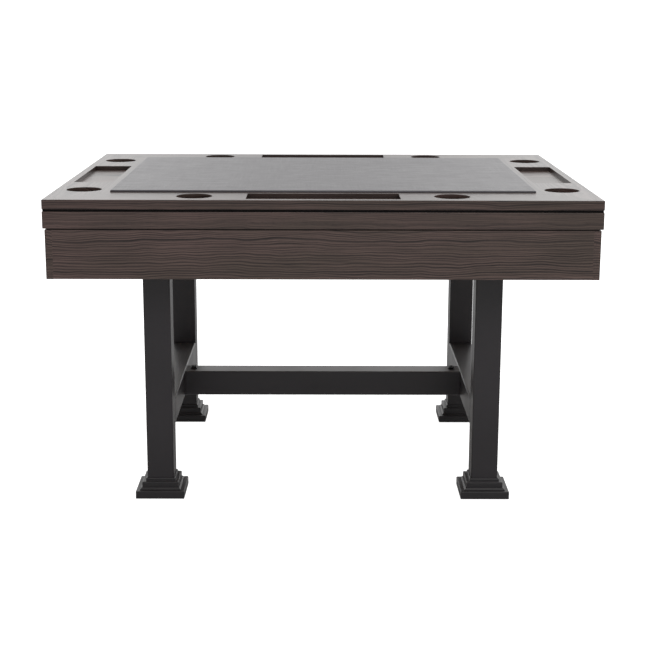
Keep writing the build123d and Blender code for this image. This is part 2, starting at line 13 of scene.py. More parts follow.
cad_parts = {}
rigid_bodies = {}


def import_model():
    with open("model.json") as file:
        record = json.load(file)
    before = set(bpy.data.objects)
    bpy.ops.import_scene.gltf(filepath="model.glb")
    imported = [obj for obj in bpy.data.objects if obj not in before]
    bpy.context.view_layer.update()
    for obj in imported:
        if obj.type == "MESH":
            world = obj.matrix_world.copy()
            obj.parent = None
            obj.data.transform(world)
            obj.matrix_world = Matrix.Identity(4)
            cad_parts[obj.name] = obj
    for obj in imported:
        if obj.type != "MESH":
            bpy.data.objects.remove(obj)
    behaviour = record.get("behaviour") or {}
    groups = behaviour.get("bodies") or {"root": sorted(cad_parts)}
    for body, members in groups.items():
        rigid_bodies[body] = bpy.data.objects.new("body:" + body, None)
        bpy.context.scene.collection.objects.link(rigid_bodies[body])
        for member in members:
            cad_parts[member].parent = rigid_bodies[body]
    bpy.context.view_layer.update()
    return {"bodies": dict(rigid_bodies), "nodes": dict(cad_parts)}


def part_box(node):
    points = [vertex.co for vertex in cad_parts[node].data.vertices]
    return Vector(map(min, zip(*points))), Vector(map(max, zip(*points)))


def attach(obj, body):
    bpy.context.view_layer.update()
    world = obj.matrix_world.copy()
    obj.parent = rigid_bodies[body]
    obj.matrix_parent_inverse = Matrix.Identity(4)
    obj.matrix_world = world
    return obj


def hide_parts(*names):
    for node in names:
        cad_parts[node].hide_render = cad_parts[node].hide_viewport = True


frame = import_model()

log = logging.getLogger("gaming_table")
MM = 0.001
WELD_DISTANCE = 0.005 * MM
SHARP_ANGLE = math.radians(32)
BEVEL_ANGLE = math.radians(38)
SOFTWOOD_ARRIS = 1.0 * MM


# ---------------------------------------------------------------- shader helpers

# What a node's input is given: a socket to link, or a number, vector or colour to set.
Input = bpy.types.NodeSocket | float | tuple


class Grain(Enum):
    """The way a board's grain runs."""

    ALONG_X = (0.0, 0.0, 0.0)
    ALONG_Y = (0.0, 0.0, math.pi / 2)
    ALONG_Z = (0.0, -math.pi / 2, 0.0)


class Graph:
    """A node tree that shader nodes are added to, with inputs given by socket name or number."""

    def __init__(self, tree: bpy.types.NodeTree) -> None:
        """Takes over a node tree and empties it.

        Args:
            tree: The node tree of a material, a world or a group.
        """
        self.tree = tree
        tree.nodes.clear()

    def add(self, kind: str, inputs: dict | None = None, **options: object) -> bpy.types.Node:
        """Adds one node.

        Args:
            kind: The node's type without its ShaderNode prefix.
            inputs: A value or an output socket for each input that isn't left as it is.
            options: The node's own settings.

        Returns:
            The new node.
        """
        node = self.tree.nodes.new("ShaderNode" + kind)
        for name, value in options.items():
            setattr(node, name, value)
        self.feed(node, inputs or {})
        return node

    def feed(self, node: bpy.types.Node, inputs: dict) -> None:
        """Links or sets a node's inputs.

        Args:
            node: The node.
            inputs: A value or an output socket for each input.
        """
        for key, value in inputs.items():
            if isinstance(value, bpy.types.NodeSocket):
                self.tree.links.new(value, node.inputs[key])
            else:
                node.inputs[key].default_value = value

    def math(self, operation: str, *values: Input) -> bpy.types.NodeSocket:
        """Adds a Math node and returns its output.

        Args:
            operation: The operation, such as MULTIPLY.
            values: Up to three numbers or sockets.

        Returns:
            The result's socket.
        """
        return self.add("Math", dict(enumerate(values)), operation=operation).outputs[0]

    def vector(self, operation: str, first: Input, second: Input) -> bpy.types.NodeSocket:
        """Adds a Vector Math node and returns its output.

        Args:
            operation: The operation, such as SUBTRACT.
            first: The first vector or socket.
            second: The second vector or socket, or the factor of SCALE.

        Returns:
            The result's socket.
        """
        slot = "Scale" if operation == "SCALE" else 1
        node = self.add("VectorMath", {0: first, slot: second}, operation=operation)
        return node.outputs["Value" if operation in ("LENGTH", "DOT_PRODUCT") else "Vector"]

    def remap(self, value: Input, low: float, high: float, to_low: float = 0.0,
              to_high: float = 1.0) -> bpy.types.NodeSocket:
        """Maps a value from one range to another, held at the ends.

        Args:
            value: The socket to map.
            low: Where the first range starts.
            high: Where the first range ends.
            to_low: What low becomes.
            to_high: What high becomes.

        Returns:
            The mapped value's socket.
        """
        inputs = {"Value": value, 1: low, 2: high, 3: to_low, 4: to_high}
        return self.add("MapRange", inputs).outputs["Result"]

    def noise(self, point: Input, scale: tuple, detail: float = 2.0,
              roughness: float = 0.5) -> bpy.types.Node:
        """Adds noise that may be stretched along an axis.

        Args:
            point: The socket of the place.
            scale: How many cells there are to a metre along each axis.
            detail: The number of finer layers.
            roughness: How strong the finer layers are.

        Returns:
            The Noise Texture node.
        """
        stretched = self.vector("MULTIPLY", point, scale)
        inputs = {"Vector": stretched, "Scale": 1.0, "Detail": detail, "Roughness": roughness}
        return self.add("TexNoise", inputs)

    def mix(self, factor: Input, first: Input, second: Input,
            blend: str = "MIX") -> bpy.types.NodeSocket:
        """Mixes two colours.

        Args:
            factor: The share of the second colour.
            first: The first colour or socket.
            second: The second colour or socket.
            blend: The way they are mixed.

        Returns:
            The mixed colour's socket.
        """
        node = self.add("Mix", {0: factor, 6: first, 7: second}, data_type="RGBA", blend_type=blend)
        return node.outputs[2]

    def ramp(self, value: Input, stops: list) -> bpy.types.NodeSocket:
        """Turns a value from 0 to 1 into a shade by a smooth curve through stops.

        Args:
            value: The socket to read.
            stops: Pairs of a position and a grey level.

        Returns:
            The shade's socket.
        """
        node = self.add("ValToRGB", {0: value})
        node.color_ramp.interpolation = "EASE"
        elements = node.color_ramp.elements
        for index, (position, level) in enumerate(stops):
            element = elements[index] if index < 2 else elements.new(position)
            element.position = position
            element.color = (level, level, level, 1.0)
        return node.outputs["Color"]


def new_group(name: str, inputs: dict, outputs: dict) -> tuple[Graph, dict]:
    """Makes an empty shader node group, whose first input is the place, called Vector.

    Args:
        name: The group's name.
        inputs: The default value of each other input; a tuple of 3 is a vector and one of 4 a colour.
        outputs: The socket kind of each output, such as Float.

    Returns:
        A graph that fills the group, and the sockets of its inputs by name.
    """
    group = bpy.data.node_groups.new(name, "ShaderNodeTree")
    kinds = {3: "NodeSocketVector", 4: "NodeSocketColor"}
    for socket, value in {"Vector": (0.0, 0.0, 0.0), **inputs}.items():
        kind = kinds[len(value)] if isinstance(value, tuple) else "NodeSocketFloat"
        made = group.interface.new_socket(name=socket, in_out="INPUT", socket_type=kind)
        made.default_value = value
    for socket, kind in outputs.items():
        group.interface.new_socket(name=socket, in_out="OUTPUT", socket_type="NodeSocket" + kind)
    graph = Graph(group)
    entry = group.nodes.new("NodeGroupInput")
    return graph, dict(entry.outputs.items())


def close_group(graph: Graph, results: dict) -> bpy.types.NodeTree:
    """Links a group's results to its outputs.

    Args:
        graph: The graph that fills the group.
        results: The socket for each output by name.

    Returns:
        The node group.
    """
    graph.feed(graph.tree.nodes.new("NodeGroupOutput"), results)
    return graph.tree


def oak_figure_group() -> bpy.types.NodeTree:
    """Builds stained open-grain oak whose grain runs along X: rings, fibre streaks and pores.

    Returns:
        The node group.
    """
    inputs = {
        "Pith": (0.0, 0.0, 0.0), "Ring": 0.007, "Drift": 0.03, "Contrast": 0.9,
        "Ground": (0.1, 0.1, 0.1, 1.0), "Warm": (0.1, 0.1, 0.1, 1.0), "Line": (0.0, 0.0, 0.0, 1.0),
    }
    g, given = new_group("Oak Figure", inputs, {"Color": "Color", "Height": "Float", "Dull": "Float"})
    place = given["Vector"]
    centred = g.vector("SUBTRACT", g.noise(place, (1.8, 5.0, 5.0), 2.0).outputs["Color"], (0.5, 0.5, 0.5))
    drifted = g.vector("ADD", place, g.vector("SCALE", centred, given["Drift"]))
    ripple = g.vector("SUBTRACT", g.noise(place, (11.0, 18.0, 18.0), 1.0).outputs["Color"], (0.5, 0.5, 0.5))
    drifted = g.vector("ADD", drifted, g.vector("SCALE", ripple, g.math("MULTIPLY", given["Drift"], 0.43)))
    from_pith = g.vector("MULTIPLY", g.vector("SUBTRACT", drifted, given["Pith"]), (0.0, 1.0, 1.0))
    rings = g.math("DIVIDE", g.vector("LENGTH", from_pith, (0.0, 0.0, 0.0)), given["Ring"])
    uneven = g.add("TexNoise", {"W": g.math("MULTIPLY", rings, 0.45), "Scale": 1.0}, noise_dimensions="1D")
    rings = g.math("MULTIPLY_ADD", uneven.outputs["Fac"], 1.6, rings)
    through = g.math("FRACT", rings)
    late = g.ramp(through, [(0.0, 0.4), (0.14, 0.0), (0.42, 0.06), (0.78, 1.0), (1.0, 0.4)])
    count = g.math("MULTIPLY", g.math("FLOOR", rings), 7.3)
    run = g.math("MULTIPLY", g.add("SeparateXYZ", {0: place}).outputs["X"], 4.0)
    which = g.add("CombineXYZ", {0: run, 1: count, 2: count}).outputs[0]
    fading = g.add("TexNoise", {"Vector": which, "Scale": 1.0}).outputs["Fac"]
    strength = g.remap(fading, 0.33, 0.64, 0.5, 1.0)
    lines = g.math("MULTIPLY", g.math("MULTIPLY", late, strength), given["Contrast"])
    fibre = g.remap(g.noise(place, (7.0, 330.0, 330.0), 3.0, 0.6).outputs["Fac"], 0.3, 0.7)
    pore_cells = g.noise(place, (55.0, 1500.0, 1500.0), 1.0).outputs["Fac"]
    pores = g.remap(pore_cells, 0.56, 0.66)
    pores = g.math("MULTIPLY", pores, g.math("MULTIPLY_ADD", late, 0.75, 0.25))
    tone = g.remap(g.noise(place, (2.4, 10.0, 10.0), 2.0).outputs["Fac"], 0.36, 0.64)
    color = g.mix(tone, given["Ground"], given["Warm"])
    color = g.mix(lines, color, given["Line"])
    shade = g.add("CombineColor", {i: g.math("MULTIPLY_ADD", fibre, 0.6, 0.72) for i in range(3)})
    color = g.mix(1.0, color, shade.outputs[0], "MULTIPLY")
    color = g.mix(g.math("MULTIPLY", pores, 0.55), color, given["Line"])
    sunk = g.math("ADD", pores, g.math("MULTIPLY", lines, 0.45))
    height = g.math("SUBTRACT", g.math("MULTIPLY", fibre, 0.12), sunk)
    return close_group(g, {"Color": color, "Height": height, "Dull": sunk})


def grit_group() -> bpy.types.NodeTree:
    """Builds the fine unevenness of a coated, moulded or cast surface.

    Returns:
        The node group, with a fine height and a slow mottle, both about 0 to 1.
    """
    outputs = {"Height": "Float", "Mottle": "Float"}
    g, given = new_group("Fine Grit", {"Cells": 700.0, "Patches": 9.0}, outputs)
    fine = g.add("TexNoise", {"Vector": given["Vector"], "Scale": given["Cells"], "Detail": 2.0})
    slow = g.add("TexNoise", {"Vector": given["Vector"], "Scale": given["Patches"], "Detail": 4.0})
    height = g.remap(fine.outputs["Fac"], 0.3, 0.7)
    mottle = g.remap(slow.outputs["Fac"], 0.3, 0.7)
    return close_group(g, {"Height": height, "Mottle": mottle})


def arris_group() -> bpy.types.NodeTree:
    """Builds a mask that is 1 along sharp edges, broken up in patches; it lightens edges where a finish is
    thin or rubbed, and partly as a painted edge highlight.

    Returns:
        The node group.
    """
    g, given = new_group("Arris", {"Radius": 0.0015}, {"Mask": "Float"})
    rounded = g.add("Bevel", {"Radius": given["Radius"]}, samples=4).outputs["Normal"]
    flat = g.add("NewGeometry").outputs["Normal"]
    facing = g.vector("DOT_PRODUCT", rounded, flat)
    edge = g.remap(facing, 0.985, 0.80)
    patches = g.noise(given["Vector"], (60.0, 60.0, 60.0), 3.0).outputs["Fac"]
    broken = g.remap(patches, 0.35, 0.65, 0.25, 1.0)
    return close_group(g, {"Mask": g.math("MULTIPLY", edge, broken)})


def crevice_group() -> bpy.types.NodeTree:
    """Builds a mask of painted shade that is 1 where faces crowd together, as in a tray or under an overhang.

    Returns:
        The node group.
    """
    g, given = new_group("Painted Crevice Shade", {"Reach": 0.03}, {"Mask": "Float"})
    openness = g.add("AmbientOcclusion", {"Distance": given["Reach"]}, samples=6).outputs["AO"]
    return close_group(g, {"Mask": g.remap(openness, 0.30, 0.92, 1.0, 0.0)})


def dust_group() -> bpy.types.NodeTree:
    """Builds a thin uneven mask of dust on faces that look up.

    Returns:
        The node group.
    """
    g, given = new_group("Settled Dust", {}, {"Mask": "Float"})
    normal = g.add("NewGeometry").outputs["Normal"]
    up = g.remap(g.add("SeparateXYZ", {0: normal}).outputs["Z"], 0.6, 1.0)
    clouds = g.noise(given["Vector"], (14.0, 14.0, 14.0), 5.0, 0.6).outputs["Fac"]
    clouds = g.remap(clouds, 0.3, 0.75, 0.3, 1.0)
    return close_group(g, {"Mask": g.math("MULTIPLY", up, clouds)})


def weave_group() -> bpy.types.NodeTree:
    """Builds a plain weave in the XY plane, with uneven threads.

    Returns:
        The node group, with the threads' height, their shade and slubs, all 0 to 1.
    """
    outputs = {"Height": "Float", "Shade": "Float", "Slub": "Float"}
    g, given = new_group("Plain Weave", {"Thread": 0.0008}, outputs)
    wander = g.vector("SUBTRACT", g.noise(given["Vector"], (120.0, 120.0, 120.0), 1.0).outputs["Color"],
                      (0.5, 0.5, 0.5))
    place = g.vector("ADD", given["Vector"], g.vector("SCALE", wander, 0.0006))
    counted = g.vector("SCALE", place, g.math("DIVIDE", 1.0, given["Thread"]))
    axes = g.add("SeparateXYZ", {0: counted})
    warp = g.math("ABSOLUTE", g.math("SINE", g.math("MULTIPLY", axes.outputs["X"], math.pi)))
    weft = g.math("ABSOLUTE", g.math("SINE", g.math("MULTIPLY", axes.outputs["Y"], math.pi)))
    steps = g.math("ADD", g.math("FLOOR", axes.outputs["X"]), g.math("FLOOR", axes.outputs["Y"]))
    over = g.math("PINGPONG", steps, 1.0)
    lying = g.math("MULTIPLY", warp, g.math("SUBTRACT", 1.0, over))
    height = g.math("ADD", lying, g.math("MULTIPLY", weft, over))
    along = g.noise(given["Vector"], (5.0, 650.0, 5.0), 2.0).outputs["Fac"]
    across = g.noise(given["Vector"], (650.0, 5.0, 5.0), 2.0).outputs["Fac"]
    slub = g.remap(g.math("ADD", along, across), 0.75, 1.25)
    return close_group(g, {"Height": height, "Shade": over, "Slub": slub})


GROUP_MAKERS = {
    "Oak Figure": oak_figure_group, "Fine Grit": grit_group, "Arris": arris_group,
    "Painted Crevice Shade": crevice_group, "Settled Dust": dust_group, "Plain Weave": weave_group,
}


class Surface(Graph):
    """The node tree of a material, with its shader and its Object coordinates."""

    def __init__(self, tree: bpy.types.NodeTree) -> None:
        """Takes over a material's node tree and adds the nodes that every finish has.

        Args:
            tree: The material's node tree.
        """
        super().__init__(tree)
        self.place = self.add("TexCoord").outputs["Object"]
        self.shader = self.add("BsdfPrincipled")
        self.add("OutputMaterial", {"Surface": self.shader.outputs["BSDF"]})

    def effect(self, name: str, **inputs: Input) -> bpy.types.Node:
        """Places a shared node group on the surface, and builds it the first time.

        Args:
            name: The group's name.
            inputs: The values or sockets of its inputs.

        Returns:
            The group's node.
        """
        group = bpy.data.node_groups.get(name) or GROUP_MAKERS[name]()
        return self.add("Group", {"Vector": self.place, **inputs}, node_tree=group)

    def cover(self, color: Input, rough: Input, **values: float) -> None:
        """Gives the surface its colour, its roughness and what else is the same all over.

        Args:
            color: The colour's socket.
            rough: The roughness, or its socket.
            values: Other values of the Principled BSDF, with _ for a space.
        """
        even = {name.replace("_", " "): value for name, value in values.items()}
        self.feed(self.shader, {"Base Color": color, "Roughness": rough, **even})

    def bump(self, height: bpy.types.NodeSocket, strength: float, distance: float) -> None:
        """Gives the surface relief.

        Args:
            height: The socket of the height, about 0 to 1.
            strength: How strongly the relief shades.
            distance: How tall a height of 1 is, in metres.
        """
        relief = self.add("Bump", {"Height": height, "Strength": strength, "Distance": distance})
        self.feed(self.shader, {"Normal": relief.outputs["Normal"]})


def shade(color: tuple, factor: float) -> tuple:
    """Returns a colour made darker or lighter by a factor, with alpha 1."""
    return (color[0] * factor, color[1] * factor, color[2] * factor, 1.0)


# ---------------------------------------------------------------- finishes


@dataclass(frozen=True)
class Finish:
    """A finish, which gives one material."""

    name: str

    def material(self) -> bpy.types.Material:
        """Returns the finish's material, which is built the first time."""
        known = bpy.data.materials.get(self.name)
        if known:
            return known
        made = bpy.data.materials.new(self.name)
        made.use_nodes = True
        self.build(Surface(made.node_tree))
        return made

    def build(self, surface: Surface) -> None:
        """Fills the material.

        Args:
            surface: The material's surface.
        """
        raise NotImplementedError


@dataclass(frozen=True)
class StainedOak(Finish):
    """Open-grain oak in a dark grey-brown stain under satin lacquer."""

    grain: Grain
    centre: tuple
    pith: tuple
    ring: float = 0.0059
    drift: float = 0.03
    contrast: float = 1.0
    light: float = 1.0
    # How strongly painted shade darkens the oak in trays, corners and under overhangs.
    crevice: float = 0.62
    relief: float = 0.35
    ground: tuple = (0.086, 0.054, 0.048)
    warm: tuple = (0.062, 0.0425, 0.0345)
    line: tuple = (0.0060, 0.0032, 0.0029)
    rough: float = 0.30

    def build(self, surface: Surface) -> None:
        """Fills the material: figure, arrises lightened by thin stain and partly by a painted highlight,
        painted shade where faces crowd together, and open pores.

        Args:
            surface: The material's surface.
        """
        turned = {"Vector": surface.place, "Location": self.centre, "Rotation": self.grain.value}
        board = surface.add("Mapping", turned, vector_type="TEXTURE").outputs[0]
        figure = surface.effect(
            "Oak Figure", Vector=board, Pith=self.pith, Ring=self.ring, Drift=self.drift,
            Contrast=self.contrast, Ground=shade(self.ground, self.light),
            Warm=shade(self.warm, self.light), Line=shade(self.line, 1.0),
        )
        arris = surface.effect("Arris", Radius=0.0012)
        # Arrises lightened: partly thin stain on the edges, partly a painted edge highlight.
        edge_lightening = surface.math("MULTIPLY", arris.outputs["Mask"], 0.3)
        color = surface.mix(edge_lightening, figure.outputs["Color"], shade(self.ground, 1.6))
        # Painted shade: the oak is darkened towards its line colour where faces crowd together, in trays and
        # under overhangs.
        crevice = surface.effect("Painted Crevice Shade", Reach=0.045)
        painted_shade = surface.math("MULTIPLY", crevice.outputs["Mask"], self.crevice)
        color = surface.mix(painted_shade, color, shade(self.line, 0.8))
        rough = surface.remap(figure.outputs["Dull"], 0.0, 1.4, self.rough, self.rough + 0.35 * self.relief)
        surface.cover(color, rough, IOR=1.4)
        surface.bump(figure.outputs["Height"], self.relief, 0.12 * MM)


@dataclass(frozen=True)
class PowderCoat(Finish):
    """Near-black satin powder coat."""

    base: tuple = (0.0132, 0.0108, 0.0128)
    rough: float = 0.40
    cells: float = 620.0
    relief: float = 0.22

    def build(self, surface: Surface) -> None:
        """Fills the material: orange peel, slow mottle, arrises lightened where the coat is thin and as a
        painted edge highlight, and a little dust.

        Args:
            surface: The material's surface.
        """
        grit = surface.effect("Fine Grit", Cells=self.cells, Patches=7.0)
        arris = surface.effect("Arris", Radius=0.0015)
        dust = surface.effect("Settled Dust")
        color = surface.mix(grit.outputs["Mottle"], shade(self.base, 0.86), shade(self.base, 1.14))
        # Arrises lightened: partly thin coat on the edges, partly a painted edge highlight.
        edge_lightening = surface.math("MULTIPLY", arris.outputs["Mask"], 0.3)
        color = surface.mix(edge_lightening, color, shade(self.base, 3.4))
        dusty = surface.math("MULTIPLY", dust.outputs["Mask"], 0.05)
        color = surface.mix(dusty, color, (0.32, 0.30, 0.28, 1.0))
        rough = surface.remap(grit.outputs["Mottle"], 0.0, 1.0, self.rough - 0.03, self.rough + 0.04)
        surface.cover(color, rough, IOR=1.45)
        surface.bump(grit.outputs["Height"], self.relief, 0.08 * MM)


@dataclass(frozen=True)
class WovenCloth(Finish):
    """Plain-woven cloth."""

    dark: tuple
    light: tuple
    thread: float = 0.0008
    rough: float = 0.40
    sheen: float = 0.02

    def build(self, surface: Surface) -> None:
        """Fills the material: threads, slubs and slow shading where the nap lies differently.

        Args:
            surface: The material's surface.
        """
        weave = surface.effect("Plain Weave", Thread=self.thread)
        grit = surface.effect("Fine Grit", Cells=1600.0, Patches=5.0)
        patches = surface.noise(surface.place, (20.0, 80.0, 80.0), 2.0).outputs["Fac"]
        nap = surface.remap(patches, 0.35, 0.65)
        uneven = surface.math("MULTIPLY_ADD", nap, 0.35, surface.math("MULTIPLY", weave.outputs["Slub"], 0.4))
        threads = surface.math("MULTIPLY_ADD", weave.outputs["Shade"], 0.25, uneven)
        color = surface.mix(threads, shade(self.dark, 1.0), shade(self.light, 1.0))
        faded = surface.math("MULTIPLY", grit.outputs["Mottle"], 0.16)
        color = surface.mix(faded, color, shade(self.light, 1.0))
        height = surface.math("MULTIPLY_ADD", grit.outputs["Height"], 0.35, weave.outputs["Height"])
        rough = surface.remap(uneven, 0.0, 0.75, self.rough - 0.06, self.rough + 0.06)
        surface.cover(color, rough, Sheen_Weight=self.sheen, Sheen_Roughness=0.45)
        surface.bump(height, 0.25, 0.12 * MM)


@dataclass(frozen=True)
class Felt(Finish):
    """Pressed wool felt."""

    # Darker than black felt is: part of this is painted shade of the narrow gap under the top.
    base: tuple = (0.0028, 0.0024, 0.0024)

    def build(self, surface: Surface) -> None:
        """Fills the material: matted fibres.

        Args:
            surface: The material's surface.
        """
        grit = surface.effect("Fine Grit", Cells=2400.0, Patches=60.0)
        color = surface.mix(grit.outputs["Mottle"], shade(self.base, 0.7), shade(self.base, 1.6))
        surface.cover(color, 0.95, IOR=1.2)
        surface.bump(grit.outputs["Height"], 0.6, 0.3 * MM)


@dataclass(frozen=True)
class MouldedPlastic(Finish):
    """Dark plastic with the fine spark texture of its mould."""

    base: tuple = (0.017, 0.0115, 0.0098)
    rough: float = 0.5

    def build(self, surface: Surface) -> None:
        """Fills the material: moulded texture and faint flow marks.

        Args:
            surface: The material's surface.
        """
        grit = surface.effect("Fine Grit", Cells=1300.0, Patches=22.0)
        color = surface.mix(grit.outputs["Mottle"], shade(self.base, 0.9), shade(self.base, 1.12))
        rough = surface.remap(grit.outputs["Mottle"], 0.0, 1.0, self.rough - 0.05, self.rough + 0.05)
        surface.cover(color, rough, IOR=1.35)
        surface.bump(grit.outputs["Height"], 0.35, 0.08 * MM)


@dataclass(frozen=True)
class PlatedSteel(Finish):
    """Zinc-plated or black-oxide steel, as on fasteners."""

    base: tuple
    metallic: float
    rough: float

    def build(self, surface: Surface) -> None:
        """Fills the material: cloudy plating and rubbed arrises.

        Args:
            surface: The material's surface.
        """
        grit = surface.effect("Fine Grit", Cells=1900.0, Patches=160.0)
        arris = surface.effect("Arris", Radius=0.0005)
        color = surface.mix(grit.outputs["Mottle"], shade(self.base, 0.82), shade(self.base, 1.1))
        edge_lightening = surface.math("MULTIPLY", arris.outputs["Mask"], 0.4)
        color = surface.mix(edge_lightening, color, shade(self.base, 1.7))
        rough = surface.remap(grit.outputs["Mottle"], 0.0, 1.0, self.rough - 0.06, self.rough + 0.08)
        surface.cover(color, rough, Metallic=self.metallic)
        surface.bump(grit.outputs["Height"], 0.15, 0.03 * MM)


@dataclass(frozen=True)
class BareWood(Finish):
    """Planed softwood without a finish."""

    grain: Grain
    light: tuple = (0.56, 0.38, 0.21)
    dark: tuple = (0.36, 0.19, 0.085)

    def build(self, surface: Surface) -> None:
        """Fills the material: wide rings, with hard late wood between.

        Args:
            surface: The material's surface.
        """
        turned = {"Vector": surface.place, "Rotation": self.grain.value}
        board = surface.add("Mapping", turned, vector_type="TEXTURE").outputs[0]
        figure = surface.effect(
            "Oak Figure", Vector=board, Pith=(0.0, 0.31, 0.47), Ring=0.0052, Drift=0.05,
            Ground=shade(self.light, 1.0), Warm=shade(self.light, 0.85), Line=shade(self.dark, 1.0),
        )
        rough = surface.remap(figure.outputs["Dull"], 0.0, 1.4, 0.62, 0.5)
        surface.cover(figure.outputs["Color"], rough)
        surface.bump(figure.outputs["Height"], 0.2, 0.06 * MM)


@dataclass(frozen=True)
class PressedBoard(Finish):
    """Fibreboard or foam: an even body with fine specks."""

    base: tuple
    fleck: tuple
    cells: float = 900.0
    rough: float = 0.8

    def build(self, surface: Surface) -> None:
        """Fills the material: specks and slow mottle.

        Args:
            surface: The material's surface.
        """
        grit = surface.effect("Fine Grit", Cells=self.cells, Patches=12.0)
        specks = surface.math("MULTIPLY", grit.outputs["Height"], 0.5)
        color = surface.mix(specks, shade(self.base, 1.0), shade(self.fleck, 1.0))
        patchy = surface.math("MULTIPLY", grit.outputs["Mottle"], 0.2)
        color = surface.mix(patchy, color, shade(self.base, 0.75))
        surface.cover(color, self.rough)
        surface.bump(grit.outputs["Height"], 0.3, 0.1 * MM)


POWDER_ON_TUBE = PowderCoat("powder_coat_on_tube")
POWDER_ON_CASTING = PowderCoat("powder_coat_on_casting", base=(0.0111, 0.0095, 0.0109), rough=0.44,
                               cells=420.0, relief=0.4)
PLAY_CLOTH = WovenCloth("grey_playing_cloth", dark=(0.020, 0.017, 0.0205), light=(0.048, 0.042, 0.049))
WELL_CLOTH = WovenCloth("dark_well_cloth", dark=(0.022, 0.022, 0.024), light=(0.044, 0.043, 0.046), rough=0.7)
BLACK_FELT = Felt("black_felt")
LINER_PLASTIC = MouldedPlastic("dark_brown_liner")
BLACK_OXIDE = PlatedSteel("black_oxide_steel", (0.020, 0.020, 0.021), 0.6, 0.42)
ZINC_PLATE = PlatedSteel("zinc_plated_steel", (0.52, 0.52, 0.54), 1.0, 0.34)
FIBREBOARD = PressedBoard("fibreboard", (0.42, 0.29, 0.18), (0.27, 0.17, 0.10))
FOAM = PressedBoard("firm_foam", (0.68, 0.65, 0.57), (0.52, 0.49, 0.42), cells=1500.0, rough=0.9)


# ---------------------------------------------------------------- mesh helpers


def node_centre(node: str) -> Vector:
    """Returns the middle of a CAD node's box."""
    low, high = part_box(node)
    return (low + high) / 2


def flat_grid(low: Vector, high: Vector, height: float, x_cells: int = 1,
              y_cells: int = 1) -> bmesh.types.BMesh:
    """Makes a level grid over the plan of a box.

    Args:
        low: The box's low corner.
        high: Its high corner.
        height: The grid's height above the floor.
        x_cells: The number of cells along X.
        y_cells: The number of cells along Y.

    Returns:
        The bmesh.
    """
    shape = bmesh.new()
    middle = (low + high) / 2
    bmesh.ops.create_grid(shape, x_segments=x_cells, y_segments=y_cells, size=0.5)
    bmesh.ops.scale(shape, vec=(high.x - low.x, high.y - low.y, 1.0), verts=shape.verts)
    bmesh.ops.translate(shape, vec=(middle.x, middle.y, height), verts=shape.verts)
    return shape


def mesh_piece(name: str, shape: bmesh.types.BMesh) -> bpy.types.Object:
    """Turns a finished bmesh into an object at the origin, shaded smooth apart from sharp edges.

    Args:
        name: The piece's name.
        shape: The bmesh, which is freed.

    Returns:
        The new object.
    """
    for face in shape.faces:
        face.smooth = True
    for edge in shape.edges:
        edge.smooth = len(edge.link_faces) == 2 and edge.calc_face_angle() < SHARP_ANGLE
    mesh = bpy.data.meshes.new(name)
    shape.to_mesh(mesh)
    shape.free()
    piece = bpy.data.objects.new(name, mesh)
    bpy.context.scene.collection.objects.link(piece)
    return piece


def rounded(shape: bmesh.types.BMesh, parts: list, width: float, segments: int,
            affect: str = "EDGES") -> None:
    """Rounds edges or corners of a bmesh.

    Args:
        shape: The bmesh.
        parts: Its edges, or its corners' vertices.
        width: How far the round reaches, in metres.
        segments: How many faces the round has.
        affect: EDGES or VERTICES.
    """
    bmesh.ops.bevel(shape, geom=parts, offset=width, offset_type="OFFSET", affect=affect, segments=segments,
                    profile=0.5, material=-1)


def wrap_as_cloth(piece: bpy.types.Object, thick: float) -> None:
    """Gives a single layer the thickness of its cloth, inwards.

    Args:
        piece: The layer's object.
        thick: The cloth's thickness, in metres.
    """
    cloth = piece.modifiers.new("cloth", "SOLIDIFY")
    cloth.thickness = thick
    cloth.offset = -1.0


def soften_arrises(piece: bpy.types.Object, width: float) -> None:
    """Rounds a CAD node's sharp edges with a small bevel.

    Args:
        piece: The node's object.
        width: How far the bevel reaches from the edge, in metres.
    """
    weld = piece.modifiers.new("weld", "WELD")
    weld.merge_threshold = WELD_DISTANCE
    bevel = piece.modifiers.new("arris", "BEVEL")
    bevel.width = width
    bevel.segments = 2
    bevel.limit_method = "ANGLE"
    bevel.angle_limit = BEVEL_ANGLE
    bevel.use_clamp_overlap = True


# ---------------------------------------------------------------- sub-assemblies


@dataclass
class Assembly:
    """A group of pieces that ride on one CAD body."""

    body: str

    def build(self) -> None:
        """Builds and dresses the assembly's pieces."""
        raise NotImplementedError

    def dress(self, node: str, finish: Finish, arris: float = 0.0) -> None:
        """Gives a CAD node its finish.

        Args:
            node: The node's name.
            finish: Its finish.
            arris: The width of the bevel on its sharp edges in metres, or 0 for none.
        """
        piece = frame["nodes"][node]
        piece.data.materials.clear()
        piece.data.materials.append(finish.material())
        if arris > 0:
            soften_arrises(piece, arris)
        log.info("%s: %s", node, finish.name)

    def dress_oak(self, kind: str, piths: dict, arris: float, **look: float) -> None:
        """Gives the four boards of a kind their oak, each board with its own figure.

        Args:
            kind: What the nodes' names start with.
            piths: Where the tree's pith lies from each board's middle, by side.
            arris: The width of the bevel on the boards' edges, in metres.
            look: The settings of the oak.
        """
        for side, pith in piths.items():
            grain = Grain.ALONG_X if side in ("front", "back") else Grain.ALONG_Y
            node = kind + "_" + side
            oak = StainedOak("oak_" + node, grain, tuple(node_centre(node)), pith, **look)
            self.dress(node, oak, arris)

    def place(self, piece: bpy.types.Object, finish: Finish, slot: str, *nodes: str) -> None:
        """Finishes a new piece and lets it ride on the assembly's body.

        Args:
            piece: The new piece.
            finish: Its finish.
            slot: The record's material slot; not used.
            nodes: The CAD nodes that it stands for.
        """
        piece.data.materials.append(finish.material())
        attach(piece, self.body)
        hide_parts(*nodes)
        log.info("%s: %s, for %s", piece.name, finish.name, ", ".join(nodes))


